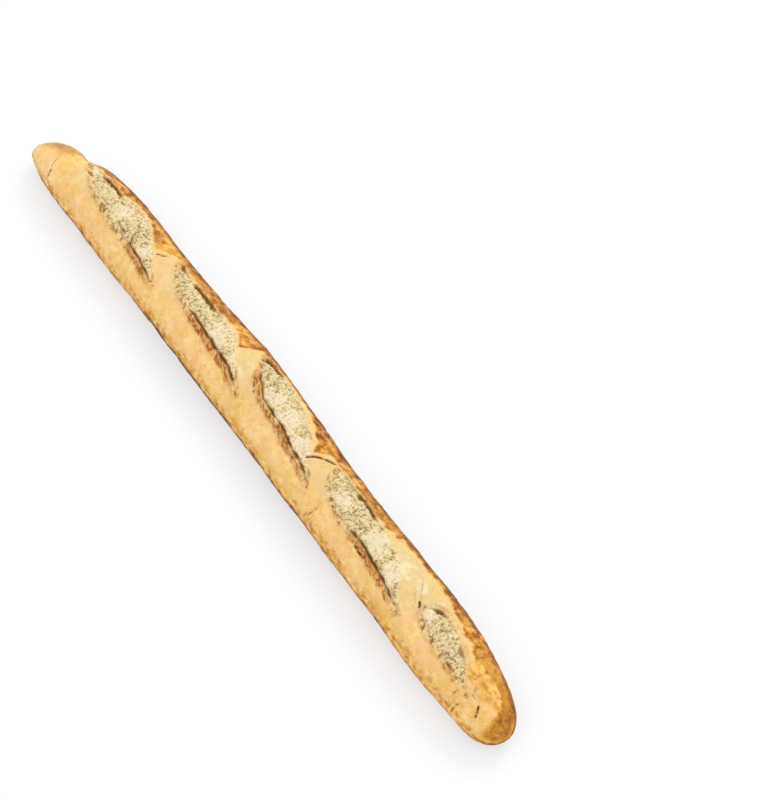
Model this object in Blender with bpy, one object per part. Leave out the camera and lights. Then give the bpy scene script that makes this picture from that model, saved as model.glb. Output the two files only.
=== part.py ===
"""A long hearth-baked baguette with five slashes, lying on its flat underside.

Units are metres and +Z is up. The loaf runs along X, the side that leans out
straight is the front, towards -Y, and the back is towards +Y. The origin is at
the middle of the underside. Angles round the loaf are in degrees from the
crest, positive towards the back.

The loaf is one solid. A smooth body carries the raised lips of the slashes.
Each slash is then cut as a shallow leaf-shaped well, and the crumb that burst
out of it in the oven is joined on as a pillow, a little smaller than its well,
so that a crevice is left all round it.
"""

import math
from collections import namedtuple

import bmesh
import bpy

# Overall size of the loaf.
LENGTH = 0.650
HEIGHT = 0.046
FRONT_REACH = 0.0283  # from the axis out to the front side, between the swellings
BACK_REACH = 0.0260  # from the axis out to the back side, between the swellings
WIDEST_AT = 0.42  # height of the widest line, as a share of the crest's height

# The underside is flat where the loaf lay on the hearth.
UNDERSIDE_SINK = 0.0022  # how far the round section would reach below the hearth
UNDERSIDE_POWER = 2.6  # above 2, the lower corners are fuller than a circle's

# Each end: where its tip is, and how long a stretch each side takes to round off.
# A bluntness of 2 rounds off as a quarter of an ellipse, and more is fuller.
End = namedtuple("End", "side tip_y tip_z front back top under bluntness")
FAR_END = End(-1, -0.0203, 0.0160, 0.033, 0.128, 0.090, 0.030, 2.1)
NEAR_END = End(+1, -0.0040, 0.0165, 0.052, 0.112, 0.084, 0.034, 2.4)

# Where the hands left a side fuller, or thinner where the reach is negative: the
# first marks on the back are the knob at the far end and the neck beside it.
HandMark = namedtuple("HandMark", "at length reach")
FRONT_MARKS = (HandMark(-0.275, 0.030, 0.0018), HandMark(0.281, 0.020, -0.0019))
BACK_MARKS = (
    HandMark(-0.313, 0.010, 0.0028),
    HandMark(-0.281, 0.013, -0.0068),
    HandMark(-0.034, 0.044, 0.0048),
    HandMark(0.212, 0.045, 0.0022),
)

# Slashes. start and length are along X; the angles say where each slash begins
# and ends, and where its front and back edges run in between. The loaf swells
# out beside each slash by front_swell and back_swell.
Slash = namedtuple(
    "Slash", "start length first_angle last_angle front back front_swell back_swell"
)
SLASHES = (
    Slash(-0.276, 0.133, 46, -32, -12, 34, 0.0020, 0.0000),
    Slash(-0.141, 0.128, 40, -36, -12, 27, 0.0006, 0.0014),
    Slash(-0.026, 0.113, 36, -39, -11, 50, 0.0001, 0.0036),
    Slash(0.082, 0.127, 36, -38, -19, 27, 0.0000, 0.0012),
    Slash(0.214, 0.077, 8, -24, -25, 22, 0.0010, 0.0010),
)
SWELL_SPREAD = 0.45  # of a slash's length
FRONT_FALL = 80  # degrees per metre that a front edge drifts towards the front
EDGE_SHARPNESS = 4  # how late a front edge leaves its run to meet the slash's ends
BACK_RISE = 0.15  # share of a slash over which its back edge gains its full opening
BACK_DROP = 0.58  # share of a slash after which its back edge falls to the tail
BACK_DROP_CURVE = 1.5  # above 1, it falls slowly at first
LIP_RISE, LIP_SPREAD = 0.0015, 0.0095  # the crust swells up this much beside a slash
BRIDGE_DIP = 0.0014  # the crest sinks between two slashes

# Wells and the pillows of crumb in them.
WELL_DEPTH = 0.0042
ROOT_DEPTH = 0.0062  # a pillow is rooted below its well's floor
CREVICE = 0.0013
PILLOW_EDGE = -0.0012  # a pillow's rim lies this far below the skin
PILLOW_RISE = 0.0028  # and its middle this far above its rim
CUTTER_REACH = 0.0090

# How finely the solid is divided.
BODY_STEP = 0.0078
TIP_STEP = 0.0007  # from a tip to its first ring; each further gap is longer by twice this
LEAF_STATIONS = 20
HALF_STATION = 0.0032  # about half the way between two stations of a slash
LEAF_ROWS = (-1.0, -0.82, -0.45, 0.0, 0.45, 0.82, 1.0)
CREST_STEP, SIDE_STEP, UNDER_STEP = 7.5, 11.0, 15.0
CREST_FROM, CREST_TO = -60.0, 67.5

CRUST_COLOUR = (0.84, 0.55, 0.24, 1.0)


def clear_scene():
    for thing in list(bpy.data.objects):
        bpy.data.objects.remove(thing)


def smooth(share):
    """0 below 0, 1 above 1, and an even S between."""
    share = min(max(share, 0.0), 1.0)
    return share * share * (3 - 2 * share)


def rounding(distance, reach, power):
    """0 at a tip and 1 from reach onwards, along a quarter of a superellipse."""
    left = 1 - min(max(distance / reach, 0.0), 1.0)
    return (1 - left**power) ** (1 / power)


def bell(x, middle, spread):
    return math.exp(-(((x - middle) / spread) ** 2))


def end_of(x):
    """The end that x is nearer to, and how far x is from its tip."""
    end = FAR_END if x < 0 else NEAR_END
    return end, LENGTH / 2 - end.side * x


def middle_of(slash):
    return slash.start + slash.length / 2


def swellings(x):
    """How far the slashes make the front and the back side swell out at station x."""
    fullness = [bell(x, middle_of(s), SWELL_SPREAD * s.length) for s in SLASHES]
    front = sum(s.front_swell * full for s, full in zip(SLASHES, fullness))
    back = sum(s.back_swell * full for s, full in zip(SLASHES, fullness))
    return front, back


def hand_marks(x, marks):
    """How far the hands left a side fuller at station x."""
    return sum(mark.reach * bell(x, mark.at, mark.length) for mark in marks)


def front_edge(x):
    """The plan outline on the front side."""
    end, distance = end_of(x)
    reach = -FRONT_REACH - swellings(x)[0] - hand_marks(x, FRONT_MARKS)
    return end.tip_y + (reach - end.tip_y) * rounding(distance, end.front, end.bluntness)


def back_edge(x):
    """The plan outline on the back side."""
    end, distance = end_of(x)
    reach = BACK_REACH + swellings(x)[1] + hand_marks(x, BACK_MARKS)
    return end.tip_y + (reach - end.tip_y) * rounding(distance, end.back, end.bluntness)


def crest_height(x):
    """The height of the crest line, lowest over the bridges between slashes."""
    end, distance = end_of(x)
    bridges = [s.start for s in SLASHES[1:]]
    dip = BRIDGE_DIP * sum(bell(x, at, 0.016) for at in bridges)
    return end.tip_z + (HEIGHT - dip - end.tip_z) * rounding(distance, end.top, end.bluntness)


def section(x):
    """(middle y, half width, widest height, rise above it, fall below it) at station x."""
    end, distance = end_of(x)
    front, back, crest = front_edge(x), back_edge(x), crest_height(x)
    full = rounding(distance, end.top, end.bluntness)
    widest = end.tip_z + (WIDEST_AT * HEIGHT - end.tip_z) * full
    fall = (widest + UNDERSIDE_SINK) * rounding(distance, end.under, end.bluntness)
    return (front + back) / 2, (back - front) / 2, widest, crest - widest, fall


def skin_point(x, angle, lift=0.0):
    """The point of the loaf's smooth skin at station x and this angle, moved outwards by lift."""
    middle, half, widest, rise, fall = section(x)
    across, up = math.sin(math.radians(angle)), math.cos(math.radians(angle))
    if up >= 0:
        y, z, depth = half * across, rise * up, rise
    else:
        y = math.copysign(half * abs(across) ** (2 / UNDERSIDE_POWER), across)
        z = -fall * abs(up) ** (2 / UNDERSIDE_POWER)
        depth = fall
    out_y, out_z = across * depth, up * half
    size = math.hypot(out_y, out_z) or 1.0
    y += lift * out_y / size
    z += lift * out_z / size
    return x, middle + y, max(widest + z, 0.0)


def slash_edges(slash, share):
    """(front angle, back angle) of a slash's opening at this share of its length."""
    drift = FRONT_FALL * slash.length / 2
    along = 1 - 2 * share
    front = slash.front + drift * along
    if along > 0:
        front += (slash.first_angle - slash.front - drift) * along**EDGE_SHARPNESS
    else:
        front += (slash.last_angle - slash.front + drift) * along**EDGE_SHARPNESS
    back = slash.first_angle + (slash.back - slash.first_angle) * smooth(share / BACK_RISE)
    dropped = max(share - BACK_DROP, 0.0) / (1 - BACK_DROP)
    back -= (back - slash.last_angle) * dropped**BACK_DROP_CURVE
    return front, max(back, front)


def gap_to_slash(x, angle):
    """How far a point of the skin lies outside the nearest slash, in metres, and 0 inside one."""
    around = math.radians(1) * (FRONT_REACH + BACK_REACH) / 2
    nearest = LENGTH
    for slash in SLASHES:
        for i in range(LEAF_STATIONS + 1):
            share = i / LEAF_STATIONS
            along = max(abs(slash.start + slash.length * share - x) - HALF_STATION, 0.0)
            front, back = slash_edges(slash, share)
            beside = max(front - angle, angle - back, 0.0) * around
            nearest = min(nearest, math.hypot(along, beside))
    return nearest


def body_angles():
    """Angles of one ring, close together over the slashed crest and wide apart below."""
    angles, angle = [], CREST_FROM
    while angle < CREST_FROM + 360 - 1e-6:
        angles.append(angle)
        below = abs((angle + 180) % 360 - 180)
        if CREST_FROM <= angle < CREST_TO:
            angle += CREST_STEP
        elif below < 120:
            angle += SIDE_STEP
        else:
            angle += UNDER_STEP
    return angles[:-1]


def body_stations():
    """Stations along the loaf, closer and closer together towards its tips."""
    count = round(BODY_STEP / TIP_STEP / 2)
    near_tip = [TIP_STEP * i**2 for i in range(1, count + 1)]
    gaps = round((LENGTH - 2 * near_tip[-1]) / BODY_STEP)
    step = (LENGTH - 2 * near_tip[-1]) / gaps
    even = [near_tip[-1] + step * i for i in range(1, gaps)]
    distances = near_tip + even + [LENGTH - d for d in reversed(near_tip)]
    return [distance - LENGTH / 2 for distance in distances]


def new_object(name, mesh_builder, material=None):
    mesh = bpy.data.meshes.new(name)
    bm = bmesh.new()
    mesh_builder(bm)
    bmesh.ops.recalc_face_normals(bm, faces=bm.faces)
    bm.to_mesh(mesh)
    bm.free()
    thing = bpy.data.objects.new(name, mesh)
    bpy.context.scene.collection.objects.link(thing)
    if material:
        mesh.materials.append(material)
    return thing


def build_body(bm):
    """Rings of the smooth skin, bridged one to the next and closed by a fan at each tip."""
    angles = body_angles()

    def ring(x):
        corners = []
        for angle in angles:
            turn = (angle + 180) % 360 - 180
            lip = LIP_RISE * math.exp(-((gap_to_slash(x, turn) / LIP_SPREAD) ** 2))
            corners.append(bm.verts.new(skin_point(x, turn, lip)))
        return [bm.edges.new((a, b)) for a, b in zip(corners, corners[1:] + corners[:1])]

    rings = [ring(x) for x in body_stations()]
    for near, far in zip(rings, rings[1:]):
        bmesh.ops.bridge_loops(bm, edges=near + far)
    for end, edges in ((FAR_END, rings[0]), (NEAR_END, rings[-1])):
        tip = bm.verts.new((end.side * LENGTH / 2, end.tip_y, end.tip_z))
        for edge in edges:
            bm.faces.new((*edge.verts, tip))


def leaf_slab(slash, inset, skip, top_lift, bottom_lift):
    """A builder for a closed slab in the shape of a slash's opening, bent round the loaf.

    inset draws its sides in, skip leaves out that many stations at each tip, and
    the two lifts give the height of its faces above the skin at (share, across)."""
    last_station = LEAF_STATIONS - skip

    def build(bm):
        def corner(i, across, lift):
            share = i / LEAF_STATIONS
            x = slash.start + slash.length * share
            front, back = slash_edges(slash, share)
            half = math.radians(back - front) / 2 * section(x)[1]
            keep = max(half - inset, 0.3 * half) / max(half, 1e-9)
            angle = (front + back) / 2 + across * keep * (back - front) / 2
            return bm.verts.new(skin_point(x, angle, lift(share, across)))

        def face_grid(lift):
            first = corner(skip, 0.0, lift)
            rows = [
                [corner(i, across, lift) for across in LEAF_ROWS]
                for i in range(skip + 1, last_station)
            ]
            return first, rows, corner(last_station, 0.0, lift)

        def skin(first, rows, last):
            for row, following in zip(rows, rows[1:]):
                for j in range(len(LEAF_ROWS) - 1):
                    bm.faces.new((row[j], row[j + 1], following[j + 1], following[j]))
            for j in range(len(LEAF_ROWS) - 1):
                bm.faces.new((first, rows[0][j + 1], rows[0][j]))
                bm.faces.new((last, rows[-1][j], rows[-1][j + 1]))

        def rim(first, rows, last):
            return [first, *(r[0] for r in rows), last, *(r[-1] for r in reversed(rows))]

        top, bottom = face_grid(top_lift), face_grid(bottom_lift)
        skin(*top)
        skin(*bottom)
        upper, lower = rim(*top), rim(*bottom)
        for k in range(len(upper)):
            bm.faces.new((upper[k - 1], upper[k], lower[k], lower[k - 1]))

    return build


def pillow_lift(share, across):
    """The crumb bulges most along its middle and sinks towards its rim and its tips."""
    fullness = math.sin(math.pi * share) ** 0.5
    return PILLOW_EDGE + PILLOW_RISE * fullness * (1 - across**2)


def join(body, tool, operation):
    """Cut tool out of body, or unite it with body, and use the tool up."""
    boolean = body.modifiers.new(f"{operation.lower()} {tool.name}", "BOOLEAN")
    boolean.operation = operation
    boolean.solver = "MANIFOLD"
    boolean.object = tool
    depsgraph = bpy.context.evaluated_depsgraph_get()
    result = bpy.data.meshes.new_from_object(body.evaluated_get(depsgraph))
    body.modifiers.clear()
    body.data = result
    bpy.data.objects.remove(tool)


def baked_crust():
    material = bpy.data.materials.new("baked_crust")
    material.use_nodes = True
    surface = material.node_tree.nodes["Principled BSDF"]
    surface.inputs["Base Color"].default_value = CRUST_COLOUR
    surface.inputs["Roughness"].default_value = 0.62
    surface.inputs["Metallic"].default_value = 0.0
    return material


def shade(thing):
    """Smooth all over but for the rims of the slashes and of their crumb."""
    thing.data.shade_smooth()
    thing.data.set_sharp_from_angle(angle=math.radians(32))


def build_baguette():
    loaf = new_object("baguette", build_body, baked_crust())
    for number, slash in enumerate(SLASHES, 1):
        well = leaf_slab(slash, 0.0, 0, lambda *_: CUTTER_REACH, lambda *_: -WELL_DEPTH)
        join(loaf, new_object(f"well_{number}", well), "DIFFERENCE")
        pillow = leaf_slab(slash, CREVICE, 1, pillow_lift, lambda *_: -ROOT_DEPTH)
        join(loaf, new_object(f"pillow_{number}", pillow), "UNION")
    shade(loaf)
    return loaf


clear_scene()
build_baguette()
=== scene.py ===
# %% [markdown]
# # A hearth-baked baguette
#
# A baguette is one piece of dough, rolled out long and thin, slashed with a
# blade and baked on a hot stone floor. In the oven the slashes burst open: the
# skin beside each cut lifts into a lip, and soft crumb swells up between the
# lips. This lesson makes that surface. The solid part that carries the weight
# and the collision shape is loaded first, and everything is placed from its box.

# %% Load the frame
import math
from collections import namedtuple

import bpy
import numpy as np
from mathutils import Matrix, Vector, noise


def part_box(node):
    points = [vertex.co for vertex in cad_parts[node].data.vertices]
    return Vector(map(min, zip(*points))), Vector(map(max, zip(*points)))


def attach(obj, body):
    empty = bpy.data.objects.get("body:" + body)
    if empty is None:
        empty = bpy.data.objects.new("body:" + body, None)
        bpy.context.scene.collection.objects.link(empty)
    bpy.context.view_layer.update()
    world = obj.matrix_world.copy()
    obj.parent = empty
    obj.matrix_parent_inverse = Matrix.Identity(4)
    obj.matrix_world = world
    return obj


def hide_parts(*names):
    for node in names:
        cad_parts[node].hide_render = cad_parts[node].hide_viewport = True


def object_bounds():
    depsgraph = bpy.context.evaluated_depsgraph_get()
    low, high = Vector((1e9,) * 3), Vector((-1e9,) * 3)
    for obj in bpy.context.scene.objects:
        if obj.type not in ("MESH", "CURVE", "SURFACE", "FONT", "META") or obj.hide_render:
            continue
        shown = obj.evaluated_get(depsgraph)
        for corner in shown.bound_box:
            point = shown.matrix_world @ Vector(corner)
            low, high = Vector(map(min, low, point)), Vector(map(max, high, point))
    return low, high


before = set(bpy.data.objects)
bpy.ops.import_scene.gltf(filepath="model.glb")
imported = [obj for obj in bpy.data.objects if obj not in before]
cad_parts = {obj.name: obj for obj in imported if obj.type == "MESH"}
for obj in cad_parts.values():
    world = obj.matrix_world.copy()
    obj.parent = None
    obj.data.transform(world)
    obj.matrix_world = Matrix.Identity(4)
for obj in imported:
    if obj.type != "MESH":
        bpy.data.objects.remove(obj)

cad_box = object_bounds()
loaf_low, loaf_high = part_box("baguette")
LENGTH = loaf_high[0] - loaf_low[0]
bpy.ops.object.select_all(action="DESELECT")
print(f"the solid loaf is {LENGTH * 1000:.0f} mm long")

# %% [markdown]
# ## The ball of dough
#
# A loaf starts as a ball, and so does this one. It could also be lofted from
# drawn outlines, or pulled out of a cylinder, but then both ends would have to
# be closed by hand. A UV sphere is closed already, and its rings and segments
# are just what is needed: the rings become the stations along the loaf, and the
# segments the points around it. Its poles are turned to lie along X, where they
# become the two tips. The mesh is fine enough, at about 1 mm, to carry torn
# crumb and cracks as real geometry.

# %% The ball of dough
RINGS, SEGMENTS = 800, 120
BALL_RADIUS = LENGTH / 8

bpy.ops.mesh.primitive_uv_sphere_add(
    segments=SEGMENTS, ring_count=RINGS, radius=BALL_RADIUS, rotation=(0, math.pi / 2, 0)
)
loaf = bpy.context.object
loaf.name = loaf.data.name = "baguette_loaf"
bpy.ops.object.transform_apply(location=False, rotation=True, scale=False)

ball = np.empty(len(loaf.data.vertices) * 3)
loaf.data.vertices.foreach_get("co", ball)
ball = ball.reshape(-1, 3) / BALL_RADIUS
ring = np.rint(np.arccos(np.clip(-ball[:, 0], -1, 1)) / math.pi * RINGS)
turn = np.arctan2(ball[:, 1], ball[:, 2])
turn[(ring == 0) | (ring == RINGS)] = 0.0
print(f"the ball of dough has {len(ball)} points")

# %% [markdown]
# ## Rolling it out
#
# Rolling keeps the dough in one piece, so each point of the ball keeps its ring
# and its place around it. What changes is how far along the loaf the ring lies,
# and how big and how round it is there. A plain stretch would leave long thin
# faces at the tips. So the rings crowd together there, which keeps the ends
# round, and the points around crowd together on the crest, where the slashes
# are. Every point ends up with a station in metres, and an angle in degrees:
# 0 on the crest, negative towards the front and positive towards the back.

# %% Stations and angles
TIP_RINGS = 20  # the rings that crowd together at each tip
CREST_CROWDING = 0.42

STEP = LENGTH / (RINGS - TIP_RINGS)
from_tip = np.minimum(ring, RINGS - ring)
tip_distance = STEP * np.where(
    from_tip < TIP_RINGS, from_tip**2 / (2 * TIP_RINGS), from_tip - TIP_RINGS / 2
)
station = np.where(ring < RINGS / 2, tip_distance - LENGTH / 2, LENGTH / 2 - tip_distance)
angle = np.degrees(turn - CREST_CROWDING * np.sin(turn))
print(f"the rings lie {STEP * 1000:.2f} mm apart along most of the loaf")

# %% [markdown]
# ## The shape under the rolling hands
#
# The loaf was rolled against its front, so its front side runs nearly straight
# and both ends are drawn in from the back. At the far end the hands pinched a
# neck and left a knob. Outlines could be drawn as curves, but rules with named
# sizes can be changed by one number, and the solid follows the same ones: each
# side rounds off over its own length at each tip, along a superellipse, and
# swells a little where the slashes opened it.

# %% The ends and the hand marks
HEIGHT = 0.046
FRONT_REACH, BACK_REACH = 0.0283, 0.0260
WIDEST_AT = 0.42  # height of the widest line, as a share of the crest's height
UNDERSIDE_SINK, UNDERSIDE_POWER = 0.0022, 2.6

# Where each tip is, and over what length each side of the loaf rounds off to it.
End = namedtuple("End", "tip_y tip_z front back top under bluntness")
FAR_END = End(-0.0203, 0.0160, 0.033, 0.128, 0.090, 0.030, 2.1)
NEAR_END = End(-0.0040, 0.0165, 0.052, 0.112, 0.084, 0.034, 2.4)

# Where a side is fuller than that, beside a slash or where the hands left more, or
# thinner, where the reach is negative: first on the back come the knob and the neck.
Mark = namedtuple("Mark", "at length reach")
FRONT_MARKS = (
    Mark(-0.275, 0.030, 0.0018),
    Mark(-0.210, 0.060, 0.0020),
    Mark(-0.077, 0.058, 0.0006),
    Mark(0.253, 0.035, 0.0010),
    Mark(0.281, 0.020, -0.0019),
)
BACK_MARKS = (
    Mark(-0.313, 0.010, 0.0028),
    Mark(-0.281, 0.013, -0.0068),
    Mark(-0.077, 0.058, 0.0014),
    Mark(-0.034, 0.044, 0.0048),
    Mark(0.031, 0.051, 0.0036),
    Mark(0.146, 0.057, 0.0012),
    Mark(0.212, 0.045, 0.0022),
    Mark(0.253, 0.035, 0.0010),
)
print(f"{len(FRONT_MARKS)} hand marks on the front, {len(BACK_MARKS)} on the back")

# %% The smooth skin
def bell(value, middle, spread):
    """1 at the middle, and away to 0 on both sides."""
    return np.exp(-(((value - middle) / spread) ** 2))


def rounding(distance, reach, power):
    """0 at a tip and 1 from reach onwards, along a quarter of a superellipse."""
    left = 1 - np.clip(distance / reach, 0, 1)
    return (1 - left**power) ** (1 / power)


def by_end(x, value):
    """value(end, distance) worked out from whichever end is nearer to station x."""
    far = value(FAR_END, LENGTH / 2 + x)
    near = value(NEAR_END, LENGTH / 2 - x)
    return np.where(x < 0, far, near)


def side_edge(x, side):
    """How far the plan reaches to the front or to the back at station x."""
    marks = FRONT_MARKS if side == "front" else BACK_MARKS
    fuller = sum(mark.reach * bell(x, mark.at, mark.length) for mark in marks)
    reach = -FRONT_REACH - fuller if side == "front" else BACK_REACH + fuller
    return by_end(
        x,
        lambda end, d: end.tip_y
        + (reach - end.tip_y) * rounding(d, getattr(end, side), end.bluntness),
    )


def raised(x, level):
    """A height that is level along the loaf and runs out to the tip's height at each end."""
    return by_end(
        x,
        lambda end, d: end.tip_z + (level - end.tip_z) * rounding(d, end.top, end.bluntness),
    )


def skin(x, degrees):
    """Points on the loaf's smooth skin."""
    front, back = side_edge(x, "front"), side_edge(x, "back")
    crest, widest = raised(x, HEIGHT), raised(x, WIDEST_AT * HEIGHT)
    under = by_end(x, lambda end, d: rounding(d, end.under, end.bluntness))
    across, up = np.sin(np.radians(degrees)), np.cos(np.radians(degrees))
    fuller = 2 / UNDERSIDE_POWER
    side = np.where(up >= 0, across, np.sign(across) * np.abs(across) ** fuller)
    y = (front + back) / 2 + (back - front) / 2 * side
    fall = (widest + UNDERSIDE_SINK) * under * np.abs(up) ** fuller
    z = np.where(up >= 0, widest + (crest - widest) * up, widest - fall)
    return np.stack([x, y, np.maximum(z, 0)], axis=-1)


smooth_skin = skin(station, angle)
wide, high = np.ptp(smooth_skin[:, 1]) * 1000, smooth_skin[:, 2].max() * 1000
print(f"the smooth loaf is {wide:.0f} mm wide and {high:.0f} mm high")

# %% [markdown]
# ## Which way is out
#
# Everything from here on pushes the skin out or in, so each point needs its
# outward direction. Blender's own normals would do, but they are only known
# once the points are back in the mesh. The ball gave the points in no special
# order, so they are sorted once into a table of rings by segments. The outward
# direction is then the cross product of the way along and the way around.

# %% Outward directions
inner = (ring > 0) & (ring < RINGS)
order = np.lexsort((turn, ring))
grid = order[inner[order]].reshape(RINGS - 1, SEGMENTS)


def outward(points):
    """The outward direction at every point of the loaf."""
    table = points[grid]
    lengthwise = np.gradient(table, axis=0)
    around = np.roll(table, -1, axis=1) - np.roll(table, 1, axis=1)
    normal = np.cross(around, lengthwise)
    normal /= np.linalg.norm(normal, axis=-1, keepdims=True) + 1e-12
    result = np.zeros_like(points)
    result[grid] = normal
    result[ring == 0] = (-1, 0, 0)
    result[ring == RINGS] = (1, 0, 0)
    return result


out = outward(smooth_skin)
if (out[:, 2] * np.sign(np.cos(np.radians(angle)))).mean() < 0:
    out = -out
print(f"outward check at the crest: {out[np.abs(angle) < 5][:, 2].mean():.2f}")

# %% [markdown]
# ## Where the blade went
#
# Five slashes run slantwise over the crest, from high on the back down to the
# front, each starting beside the tail of the one before. They could be cut with
# a Boolean, but a torn edge isn't a clean cut. So a slash is drawn here as two
# edges in a flat map of the skin: millimetres along the loaf one way, degrees
# around it the other. A baker would mark where each edge turns, so that is what
# is written down. Noise then makes the line between two turns wander, as torn
# dough does.

# %% Five slashes
# front and back are the two edges, opened is where the front edge stands open, and
# overhangs are where the back edge hangs over: from, to and how far.
Slash = namedtuple("Slash", "front back opened overhangs")
SLASHES = (
    Slash(
        front=((-272, 47), (-264, 20), (-254, 4), (-240, -10), (-222, -17), (-200, -22),
               (-184, -22), (-176, -20), (-163, -24), (-150, -29), (-138, -35)),
        back=((-272, 47), (-262, 31), (-245, 27), (-226, 26), (-212, 35), (-200, 40),
              (-190, 37), (-176, 20), (-160, 4), (-150, -15), (-138, -35)),
        opened=(-180, -144),
        overhangs=((-258, -243, 0.5), (-245, -224, 1.0), (-214, -206, 0.4)),
    ),
    Slash(
        front=((-143, 42), (-137, 20), (-126, 4), (-112, -6), (-100, -10), (-92, -10),
               (-75, -13), (-55, -17), (-38, -20), (-26, -27), (-15, -35)),
        back=((-143, 42), (-134, 34), (-118, 28), (-98, 29), (-78, 27), (-64, 27),
              (-48, 10), (-36, -5), (-26, -20), (-15, -35)),
        opened=(-95, -25),
        overhangs=((-142, -124, 0.8), (-116, -90, 1.2), (-92, -78, 0.4)),
    ),
    Slash(
        front=((-29, 44), (-24, 26), (-15, 11), (-6, 2), (3, -6), (20, -8), (38, -12),
               (55, -17), (68, -19), (77, -27), (85, -38)),
        back=((-29, 44), (-20, 49), (-5, 53), (12, 50), (30, 42), (48, 29), (64, 3),
              (71, -9), (78, -22), (85, -38)),
        opened=(-17, 77),
        overhangs=((-30, -10, 1.3),),
    ),
    Slash(
        front=((87, 33), (89, 14), (93, -2), (103, -12), (115, -19), (128, -22),
               (140, -19), (158, -21), (176, -26), (192, -33), (207, -41)),
        back=((87, 33), (98, 34), (118, 31), (134, 29), (150, 24), (166, 18), (181, 6),
              (194, -14), (207, -41)),
        opened=(136, 197),
        overhangs=((90, 118, 0.5), (115, 138, 1.2), (142, 149, 0.7)),
    ),
    Slash(
        front=((217, -4), (220, -12), (230, -20), (243, -24), (258, -24), (272, -27),
               (287, -28)),
        back=((217, -4), (221, 10), (229, 18), (241, 18), (252, 13), (263, 5),
              (272, -3), (279, -14), (287, -28)),
        opened=(262, 266),
        overhangs=((220, 232, 0.9), (232, 250, 0.4), (256, 272, 0.6)),
    ),
)
print(f"{len(SLASHES)} slashes marked out")

# %% Torn edges
MM = 0.001
AROUND = math.radians(1) * (FRONT_REACH + BACK_REACH) / 2  # metres of skin per degree
EDGE_POINTS = 120
WANDER = ((0.011, 2.2), (0.0035, 1.8))  # (length of a wave in metres, degrees)
TURN_ROUND, SHIFTS = 0.004, (-1.0, -0.5, 0.0, 0.5, 1.0)  # turns are rounded off over this


def wander(x, seed):
    """How many degrees a torn edge strays at station x."""
    return sum(
        reach * np.array([noise.noise((at / wave, seed, 7.3 * reach)) for at in x])
        for wave, reach in WANDER
    )


def torn_edge(turns, seed):
    """Stations and angles along a torn edge that turns at those places."""
    turn_x, turn_angle = np.array(turns, float).T
    x = np.linspace(turn_x[0], turn_x[-1], EDGE_POINTS) * MM
    fade = np.minimum(1, 8 * np.minimum(x - x[0], x[-1] - x) / (x[-1] - x[0]))
    rounded = sum(
        np.interp(x + shift * fade * TURN_ROUND, turn_x * MM, turn_angle) for shift in SHIFTS
    ) / len(SHIFTS)
    return x, rounded + fade * wander(x, seed)


def distance_to(line_x, line_angle, x, degrees):
    """Distance of each point of the skin to a line, and where on the line it is nearest."""
    nearest = np.full(len(x), np.inf)
    share = np.zeros(len(x))
    px, py = x, degrees * AROUND
    lx, ly = line_x, line_angle * AROUND
    for i in range(len(lx) - 1):
        dx, dy = lx[i + 1] - lx[i], ly[i + 1] - ly[i]
        t = np.clip(((px - lx[i]) * dx + (py - ly[i]) * dy) / (dx * dx + dy * dy + 1e-12), 0, 1)
        gap = np.hypot(px - lx[i] - t * dx, py - ly[i] - t * dy)
        closer = gap < nearest
        nearest = np.where(closer, gap, nearest)
        share = np.where(closer, (i + t) / (len(lx) - 1), share)
    return nearest, share


print(f"a degree of skin is about {AROUND * 1000:.2f} mm around the loaf")

# %% [markdown]
# ## How far each edge opens
#
# The blade goes in at a slant. So in the first half of a slash the back edge
# becomes a flap that hangs over the crumb, while towards the tail the front
# edge stands open. Elsewhere the crust thins out into the crumb with hardly a
# step. Each edge gets a value from 0 to about 1 along its length that says how
# far it is open, with soft ends and a bit of noise. The shapes and the colours
# that follow all read these two values, so they always agree.

# %% Gape and overhang
REACH = 0.016  # skin further than this from a slash isn't touched by it
STEEP = 85  # nor is skin more degrees than this from the crest
CLOSED_GAPE = 0.20  # how far an edge that isn't open still shows as a line
MOST_OPEN = 1.1


def smooth(share):
    """0 to 1, with a soft start and a soft end."""
    share = np.clip(share, 0, 1)
    return share * share * (3 - 2 * share)


def rising(value, start, over):
    """0 up to start, and 1 from start + over onwards."""
    return smooth((value - start) / over)


def falling(value, start, over):
    """1 up to start, and 0 from start + over onwards."""
    return smooth((start + over - value) / over)


def window(x, start, end, ramp=0.010):
    """1 between two stations, with a soft ramp at each."""
    return smooth((x - start) / ramp + 0.5) * smooth((end - x) / ramp + 0.5)


def unevenly(x, number, seed, size=0.007):
    """Noise along a slash, from about -1 to 1, with waves of that length."""
    return np.array([noise.noise((at / size, 10 * number + seed, 1.7)) for at in x])


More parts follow.
